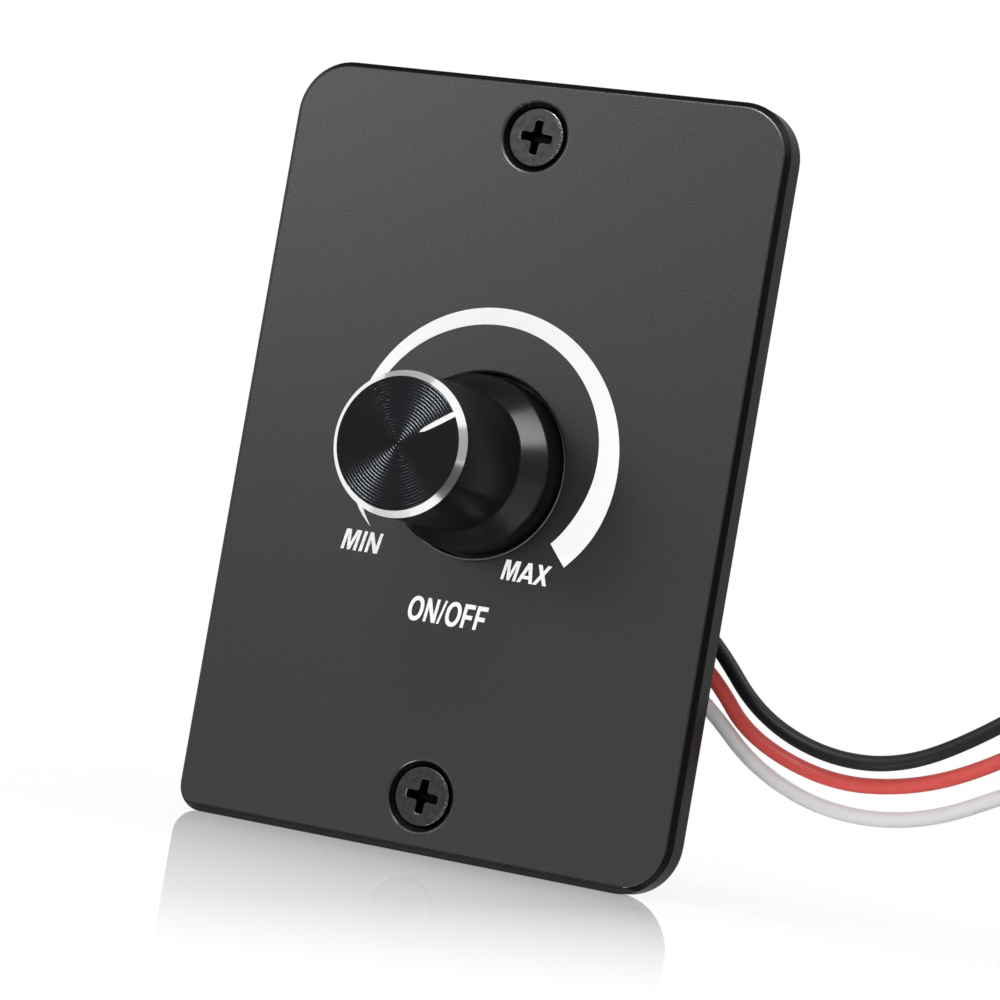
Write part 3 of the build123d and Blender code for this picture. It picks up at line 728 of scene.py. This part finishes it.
lettering = bmesh.new()
shares = [i / swoosh_steps for i in range(swoosh_steps + 1)]
outer_line = [smooth_radius(swoosh_outer, share) for share in shares]
inner_line = [smooth_radius(swoosh_inner, share) for share in shares]
lay_ink(lettering, [outer_line + inner_line[::-1]])
for word, left, baseline, wide, high, lean in words:
    slant = math.tan(math.radians(lean)) * high
    start = -glyphs[word[0]][0]
    for letter in word:
        room, width, outlines = glyphs[letter]
        start += room
        placed = [
            [(left + (start + x) * wide + slant * z, baseline + z * high) for x, z in line]
            for line in outlines
        ]
        lay_ink(lettering, placed)
        start += width + room
bmesh.ops.recalc_face_normals(lettering, faces=lettering.faces)
lettering_mesh = finish_mesh("dial_print", lettering, crease_angle, white_ink())
link_piece("dial_print", lettering_mesh, "base", "white_print", "dial_arc")


# Mounting screws
# Two countersunk self-tapping screws of blackened steel, with a pressed cross and a rolled thread.
# Bright specks are painted round the right side of each head's rim: painted highlight.
screw_head = 3.55 * MM
screw_face = 3.4 * MM
screw_rim = 0.2 * MM
screw_edge = 0.12 * MM
edge_bulge = 0.3
screw_neck = 1.35 * MM
screw_core = 1.2 * MM
screw_crest = 1.75 * MM
screw_pitch = 1.3 * MM
screw_point = 4.0 * MM
screw_blunt = 0.02 * MM
# One turn of the thread, as shares of the pitch and the radius there
thread_form = [(0.0, screw_core), (0.45, screw_core), (0.68, screw_crest), (0.76, screw_crest)]
screw_sides = 48
thread_sides = 24
cross_half = 2.1 * MM
cross_arm = 0.525 * MM
cross_corner = 0.35 * MM
cross_end = 0.28 * MM
cross_lip = 0.07 * MM
cross_depth = 1.6 * MM
cross_floor_share = 0.45
cross_turn = math.radians(-4)
end_steps = 3
corner_steps = 4
spin_gap = 0.0005 * MM
# The painted glints: their size and share, how far inside the rim they lie, and how far to the right
glint_size = 0.16 * MM
glint_share = (0.54, 0.66)
glint_rim = (0.42 * MM, 0.3 * MM)
glint_right = (1.2 * MM, 2.4 * MM)
# How deep in the cross the painted shade sets in and is full
cross_dark = (0.1 * MM, 0.3 * MM)
screw_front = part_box("mounting_screws")[0].y
screw_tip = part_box("mounting_screws")[1].y
screw_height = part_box("mounting_screws")[1].z - screw_head


def spin_profile(shape, profile, sides, rise=0.0):
    """Turns a line of (radius, y) points about the Y axis, rising by rise in the whole turn."""
    line = [shape.verts.new((radius, y, 0)) for radius, y in profile]
    edges = [shape.edges.new(pair) for pair in zip(line, line[1:])]
    bmesh.ops.spin(
        shape,
        geom=line + edges,
        axis=(0, 1, 0),
        cent=(0, 0, 0),
        dvec=(0, rise / sides, 0),
        angle=2 * math.pi,
        steps=sides,
        use_merge=rise == 0.0,
    )
    bmesh.ops.remove_doubles(shape, verts=shape.verts, dist=spin_gap)


def add_head(shape):
    """The countersunk head and its neck, with the cross sunk into it."""
    cone_front = screw_front + screw_rim
    profile = [
        (screw_face - screw_edge, screw_front),
        (screw_face - screw_edge * edge_bulge, screw_front + screw_edge * edge_bulge),
        (screw_face, screw_front + screw_edge),
        (screw_face, cone_front),
        (screw_neck, cone_front + screw_head - screw_neck),
        (screw_neck, screw_pitch),
        (0, screw_pitch),
    ]
    spin_profile(shape, profile, screw_sides)
    rim = [edge for edge in shape.edges if edge.is_boundary]
    arm, half, corner = cross_arm, cross_half, cross_corner
    quarter = []
    for side, turn_from in ((-1, -90), (1, 0)):
        for step in range(end_steps + 1):
            turn = math.radians(turn_from + 90 * step / end_steps)
            z = side * (arm - cross_end) + cross_end * math.sin(turn)
            quarter.append((half - cross_end * (1 - math.cos(turn)), z))
    for step in range(corner_steps + 1):
        turn = math.radians(-90 - 90 * step / corner_steps)
        quarter.append((arm + corner + corner * math.cos(turn), arm + corner + corner * math.sin(turn)))
    outline = []
    for k in range(4):
        spun = Matrix.Rotation(k * math.pi / 2 + cross_turn, 2)
        outline += [spun @ Vector(point) for point in quarter]
    mouth = [shape.verts.new((x, screw_front, z)) for x, z in outline]
    lip = [shape.edges.new(pair) for pair in zip(mouth, mouth[1:] + mouth[:1])]
    bmesh.ops.triangle_fill(shape, edges=rim + lip, use_beauty=True)
    for share, depth, wear_and_glint in ((cross_lip / cross_half, cross_lip, 1), (cross_floor_share, cross_depth, 0)):
        wall = bmesh.ops.extrude_edge_only(shape, edges=lip)
        sunk = [part for part in wall["geom"] if isinstance(part, bmesh.types.BMVert)]
        for part in wall["geom"]:
            if isinstance(part, bmesh.types.BMFace):
                part.material_index = wear_and_glint
        bmesh.ops.scale(shape, verts=sunk, vec=(1 - share, 1, 1 - share))
        bmesh.ops.translate(shape, verts=sunk, vec=(0, depth, 0))
        lip = [
            part
            for part in wall["geom"]
            if isinstance(part, bmesh.types.BMEdge) and all(vert in sunk for vert in part.verts)
        ]
    bmesh.ops.holes_fill(shape, edges=lip)


def add_thread(shape):
    """The thread, which runs from the neck and narrows to a point."""
    turns = math.ceil(screw_tip / screw_pitch) - 1
    profile = []
    for k in range(turns):
        for share, radius in thread_form:
            profile.append((radius, (k + share) * screw_pitch))
    profile.append((screw_core, turns * screw_pitch))
    spin_profile(shape, profile, thread_sides, rise=screw_pitch)
    bmesh.ops.holes_fill(shape, edges=[edge for edge in shape.edges if edge.is_boundary])
    for vert in shape.verts:
        left = max(screw_tip - vert.co.y, screw_blunt) / screw_point
        if left < 1:
            vert.co.x *= left
            vert.co.z *= left


def blackened_steel():
    # Blackened steel: a dark cloudy plating, painted near black deep in the cross (painted shade),
    # with bright specks painted round the head's right side (painted highlight)
    material, tree, shader = begin_material("blackened_steel", 0.4, metallic=1.0)
    tint = mottle(tree, shader, "#1C1C1D", "#3E3E3F", grain_mm=0.8, relief_mm=0.01)
    place = add_node(tree, "TexCoord", {})
    glints = add_node(
        tree, "TexNoise", {"Vector": place.outputs["Object"], "Scale": 1 / glint_size, "Detail": 3.0}
    )
    axes = add_node(tree, "SeparateXYZ", {0: place.outputs["Object"]})
    x, y = axes.outputs["X"], axes.outputs["Y"]
    height = add_node(tree, "Math", {0: axes.outputs["Z"]}, operation="ABSOLUTE")
    above = add_node(tree, "Math", {0: height.outputs[0], 1: screw_height}, operation="SUBTRACT")
    across = add_node(tree, "CombineXYZ", {"X": x, "Z": above.outputs[0]})
    radius = add_node(tree, "VectorMath", {0: across.outputs[0]}, operation="LENGTH")
    at_rim = (radius.outputs["Value"], screw_face - glint_rim[0], screw_face - glint_rim[1])
    # Bright specks on the right of the rim: painted highlight
    wear_and_glint = where(tree, (glints.outputs["Fac"], *glint_share), at_rim, (x, *glint_right))
    # Deep in the cross the plating is painted near black: painted shade
    in_cross = (y, screw_front + cross_dark[0], screw_front + cross_dark[1])
    cross_shade = where(tree, in_cross, (y, place_blur, 0.0))
    colour = tint
    # Painted highlight in specks, and painted shade deep in the cross
    for mask, code in ((wear_and_glint, "#7A7B7C"), (cross_shade, "#090909")):
        paint = {0: mask, 6: colour, 7: linear_colour(code)}
        colour = add_node(tree, "Mix", paint, data_type="RGBA").outputs[2]
    tree.links.new(colour, shader.inputs["Base Color"])
    return material


def rubbed_steel():
    # The lip of the cross, where the driver has taken the plating off
    material, tree, shader = begin_material("rubbed_steel", 0.4, metallic=1.0)
    mottle(tree, shader, "#6A6A6B", "#B4B5B6", grain_mm=0.2, relief_mm=0.005)
    return material


screws = bmesh.new()
for side in (1, -1):
    screw = bmesh.new()
    add_head(screw)
    thread = bmesh.new()
    add_thread(thread)
    for part in (screw, thread):
        bmesh.ops.recalc_face_normals(part, faces=part.faces)
        bmesh.ops.translate(part, verts=part.verts, vec=(0, 0, side * screw_height))
        part_mesh = bpy.data.meshes.new("screw_part")
        part.to_mesh(part_mesh)
        part.free()
        screws.from_mesh(part_mesh)
        bpy.data.meshes.remove(part_mesh)
link_piece(
    "threaded_screws",
    finish_mesh("threaded_screws", screws, crease_angle, blackened_steel(), rubbed_steel()),
    "base",
    "black_zinc_steel",
    "mounting_screws",
)


# Control
# A potentiometer: a zinc-plated steel front plate, bushing and can round a phenolic wafer, with a brass
# shaft that turns and slides. A nut and washer clamp it to the housing's front wall.
def plated_steel():
    # Bright zinc plating: pale grey with a slight bluish cloud
    material, tree, shader = begin_material("zinc_plated_steel", 0.32, metallic=1.0)
    mottle(tree, shader, "#A9ADB2", "#C6C9CC", grain_mm=0.9, relief_mm=0.004)
    return material


def turned_brass():
    # Free-cutting brass from the lathe: yellow, with the fine rings of the tool
    material, tree, shader = begin_material("turned_brass", 0.3, metallic=1.0)
    mottle(tree, shader, "#A88345", "#C29C5A", grain_mm=0.3, relief_mm=0.004)
    return material


def phenolic_paper():
    # Paper laminate in phenolic resin: brown, with faint fibres
    material, tree, shader = begin_material("phenolic_paper", 0.45)
    mottle(tree, shader, "#5A3216", "#7A4820", grain_mm=0.5, relief_mm=0.004)
    return material


def sprung_bronze():
    # Phosphor bronze strip: rolled, reddish and springy
    material, tree, shader = begin_material("phosphor_bronze", 0.28, metallic=1.0)
    mottle(tree, shader, "#A9683A", "#C2814C", grain_mm=0.4, relief_mm=0.003)
    return material


def black_acetal():
    # Acetal moulding: black, waxy and smooth
    material, tree, shader = begin_material("black_acetal", 0.35)
    mottle(tree, shader, "#141416", "#1E1F21", grain_mm=0.6, relief_mm=0.004)
    return material


zinc = plated_steel()
bronze = sprung_bronze()
acetal = black_acetal()
dress(zinc, "pot_nut", "pot_washer", "pot_bushing", "pot_can")
dress(turned_brass(), "pot_shaft")
dress(phenolic_paper(), "pot_wafer")
dress(solder, "pot_terminals")
dress(acetal, "wiper_rotor", "knob_core")
dress(bronze, "wiper_contact")


# Push switch
# A moulded box behind the control. The shaft pushes its plunger, which lays a bronze bridge
# across two pins, and a steel spring sends it back.
def switch_nylon():
    # Glass-filled nylon moulding: dark grey, slightly cloudy
    material, tree, shader = begin_material("glass_filled_nylon", 0.5)
    mottle(tree, shader, "#2A2C30", "#383A3E", grain_mm=0.5, relief_mm=0.008)
    return material


def plunger_nylon():
    # Natural nylon moulding: milky white
    material, tree, shader = begin_material("natural_nylon", 0.42)
    mottle(tree, shader, "#D9D6CB", "#E6E3D9", grain_mm=0.8, relief_mm=0.004)
    return material


def spring_steel():
    # Drawn spring wire: grey steel with an oiled gloss
    material, tree, shader = begin_material("spring_steel", 0.25, metallic=1.0)
    mottle(tree, shader, "#85888C", "#A3A6AA", grain_mm=0.3, relief_mm=0.003)
    return material


dress(switch_nylon(), "switch_body")
dress(plunger_nylon(), "switch_plunger")
dress(bronze, "contact_bridge")
dress(solder, "switch_terminals")

# The spring is a joined copy of its solid.
spring_crease = math.radians(70)
coil = bmesh.new()
coil.from_mesh(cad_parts["return_spring"].data)
bmesh.ops.remove_doubles(coil, verts=coil.verts, dist=merge_gap)
coil_mesh = finish_mesh("coil_spring", coil, spring_crease, spring_steel())
coil_spring = link_piece("coil_spring", coil_mesh, "base", "spring_wire", "return_spring")
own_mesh(coil_spring)


# Circuit board
# Glass-epoxy board with the dimmer's parts soldered to its front: a capacitor, a power transistor,
# a diode, a chip and four resistors. Two screws hold it to bosses in the housing.
def board_laminate():
    # Glass cloth in epoxy under green lacquer: the weave shows as a faint grid
    material, tree, shader = begin_material("green_laminate", 0.3)
    mottle(tree, shader, "#1C5A35", "#24683F", grain_mm=0.4, relief_mm=0.004)
    return material


def capacitor_sleeve():
    # Shrunk PVC sleeve on an aluminium can: dark blue
    material, tree, shader = begin_material("shrunk_sleeve", 0.3)
    mottle(tree, shader, "#1A2030", "#222A3C", grain_mm=0.7, relief_mm=0.006)
    return material


def moulded_epoxy():
    # Transfer-moulded epoxy: black, matt and slightly grainy
    material, tree, shader = begin_material("moulded_epoxy", 0.6)
    mottle(tree, shader, "#151515", "#1F1F1F", grain_mm=0.15, relief_mm=0.006)
    return material


dress(board_laminate(), "circuit_board")
dress(capacitor_sleeve(), "filter_capacitor")
dress(moulded_epoxy(), "power_transistor", "flyback_diode", "control_chip", "chip_resistors")


# Housing
# A moulded box in a pocket of the plate's back, with a cover screwed on behind it and a rubber
# grommet in its right-hand wall for the leads.
housing_edge = 0.15 * MM


def moulded_abs():
    # Injection-moulded ABS from a spark-eroded mould: black, with an even fine grain
    material, tree, shader = begin_material("moulded_abs", 0.5)
    mottle(tree, shader, "#151618", "#1E1F22", grain_mm=0.22, relief_mm=0.02)
    return material


def soft_rubber():
    # Moulded rubber: black, matt, with a dusty bloom
    material, tree, shader = begin_material("soft_rubber", 0.75)
    mottle(tree, shader, "#101011", "#1B1B1C", grain_mm=0.4, relief_mm=0.01)
    return material


abs_plastic = moulded_abs()
housing_mesh = finish_mesh("box", break_edges("housing", housing_edge), crease_angle, abs_plastic)
link_piece("box", housing_mesh, "base", "housing_moulding", "housing")
cover_mesh = finish_mesh("back_cover", break_edges("rear_cover", housing_edge), crease_angle, abs_plastic)
link_piece("back_cover", cover_mesh, "base", "housing_moulding", "rear_cover")
dress(soft_rubber(), "wire_grommet")
dress(zinc, "housing_screws", "board_screws", "cover_screws")


# Knob
# Turned from aluminium bar and anodised black. Then its rim is cut bright with a diamond tool,
# its face keeps the rings of the lathe, and the pointer is milled and left bright.
knob_radius = 8.2 * MM
knob_bevel = 0.73 * MM
skirt_radius = 10.25 * MM
flare_top = -9.8 * MM
flare_foot = -6.7 * MM
hollow_radius = 7.0 * MM
hollow_top = -8.0 * MM
core_radius = 6.0 * MM
core_front = -22.6 * MM
knob_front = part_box("knob")[0].y
skirt_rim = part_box("knob")[1].y
# The lathe's rings are about 0.26 mm apart, and are drawn coarser so that they show. Each is a flat land and
# a groove, given by shares of the pitch and the depth in mm.
ring_pitch = 0.36 * MM
ring_groove = [(0.5, 0.0), (0.62, 0.026), (0.75, 0.045), (0.88, 0.026)]
ring_depth = max(depth for share, depth in ring_groove) * MM
knob_sides = 160
knob_crease = math.radians(25)
crease_round = 0.12 * MM
pointer_turn = math.radians(33)
pointer_inner = 2.8 * MM
pointer_depth = 0.2 * MM
pointer_swell = 0.75 * MM
pointer_taper = 0.45 * MM
pointer_steps = 9
SIDE, RIM, FACE, POINTER = range(4)


def knob_profile():
    """Half of the knob's section, as (radius, y) points from its face round to its hollow."""
    face_edge = knob_radius - knob_bevel
    points = [(0.0, knob_front)]
    rings = round(face_edge / ring_pitch)
    for i in range(rings):
        for share, depth in ring_groove:
            points.append((face_edge * (i + share) / rings, knob_front + depth * MM))
        points.append((face_edge * (i + 1) / rings, knob_front))
    points.append((knob_radius, knob_front + knob_bevel))
    start, foot = Vector((knob_radius, flare_top)), Vector((skirt_radius, flare_foot))
    along, lean = Vector((0, 1)), (foot - start).normalized()
    for corner, before, after in ((start, along, lean), (foot, lean, along)):
        for reach in (2, 1):
            points.append(corner - before * reach * crease_round)
        for reach in (1, 2):
            points.append(corner + after * reach * crease_round)
    points.append((skirt_radius, skirt_rim))
    points.append((hollow_radius, skirt_rim))
    points.append((hollow_radius, hollow_top))
    points.append((core_radius, hollow_top))
    points.append((core_radius, core_front))
    points.append((0.0, core_front))
    return points


def pointer_cutter():
    """The pointer's lens outline, pointed inwards, as a block that is cut from the face."""
    length = knob_radius - pointer_inner
    upper, lower = [], []
    for i in range(pointer_steps + 1):
        share = i / pointer_steps
        half = pointer_swell * math.sqrt(share) - pointer_taper * share
        upper.append((pointer_inner + length * share, half))
        lower.append((pointer_inner + length * share, -half))
    outline = upper + lower[:0:-1]
    spun = Matrix.Rotation(pointer_turn, 2)
    shape = bmesh.new()
    rim = []
    for point in outline:
        x, z = spun @ Vector(point)
        rim.append(shape.verts.new((x, knob_front - pointer_depth, z)))
    face = shape.faces.new(rim)
    raised = bmesh.ops.extrude_face_region(shape, geom=[face], use_keep_orig=True)
    tops = [part for part in raised["geom"] if isinstance(part, bmesh.types.BMVert)]
    bmesh.ops.translate(shape, verts=tops, vec=(0, 2 * pointer_depth, 0))
    bmesh.ops.recalc_face_normals(shape, faces=shape.faces)
    for face in shape.faces:
        face.material_index = POINTER
    return shape


def knob_side_finish():
    # Black anodising on a fine-turned side: satin, with rings too fine to count
    material, tree, shader = begin_material("satin_black_anodising", 0.24, metallic=0.82)
    mottle(tree, shader, "#2B2B2C", "#343435", grain_mm=0.2, relief_mm=0.002)
    shader.inputs["Specular Tint"].default_value = linear_colour("#C2C2C2")
    shader.inputs["Specular IOR Level"].default_value = 0.0
    return material


def knob_face_finish():
    # Black anodising over the lathe's rings: the rings themselves are in the mesh
    material, tree, shader = begin_material("ringed_black_anodising", 0.24, metallic=1.0)
    mottle(tree, shader, "#1A1B1D", "#1F2022", grain_mm=0.2, relief_mm=0.001)
    return material


def bright_cut():
    # Aluminium cut with a diamond after anodising: a bright, nearly white mirror
    material, tree, shader = begin_material("bright_cut_aluminium", 0.16, metallic=1.0)
    mottle(tree, shader, "#EBECED", "#F7F7F8", grain_mm=0.3, relief_mm=0.001)
    return material


bright = bright_cut()
knob_materials = [knob_side_finish(), bright, knob_face_finish(), bright]
knob_shape = bmesh.new()
spin_profile(knob_shape, knob_profile(), knob_sides)
bmesh.ops.recalc_face_normals(knob_shape, faces=knob_shape.faces)
for face in knob_shape.faces:
    middle = face.calc_center_median()
    radius = math.hypot(middle.x, middle.z)
    if middle.y < knob_front + 2 * ring_depth and radius < knob_radius - knob_bevel:
        face.material_index = FACE
    elif middle.y < knob_front + knob_bevel and radius < knob_radius:
        face.material_index = RIM
blank_mesh = finish_mesh("knob_blank", knob_shape, crease_angle, *knob_materials)
cutter_mesh = finish_mesh("pointer_cutter", pointer_cutter(), crease_angle, *knob_materials)
whole = bpy.data.objects.new("knob_blank", blank_mesh)
cutter = bpy.data.objects.new("pointer_cutter", cutter_mesh)
for helper in (whole, cutter):
    bpy.context.scene.collection.objects.link(helper)
mill = whole.modifiers.new("mill", "BOOLEAN")
mill.object = cutter
mill.solver = "EXACT"
mill.material_mode = "INDEX"
bpy.context.view_layer.update()
milled = whole.evaluated_get(bpy.context.evaluated_depsgraph_get())
knob_mesh = bpy.data.meshes.new_from_object(milled)
for helper in (whole, cutter):
    bpy.data.objects.remove(helper)
knob_mesh.name = "turned_knob"
knob_mesh.shade_smooth()
knob_mesh.set_sharp_from_angle(angle=knob_crease)
link_piece("turned_knob", knob_mesh, "knob", "anodised_knob", "knob")
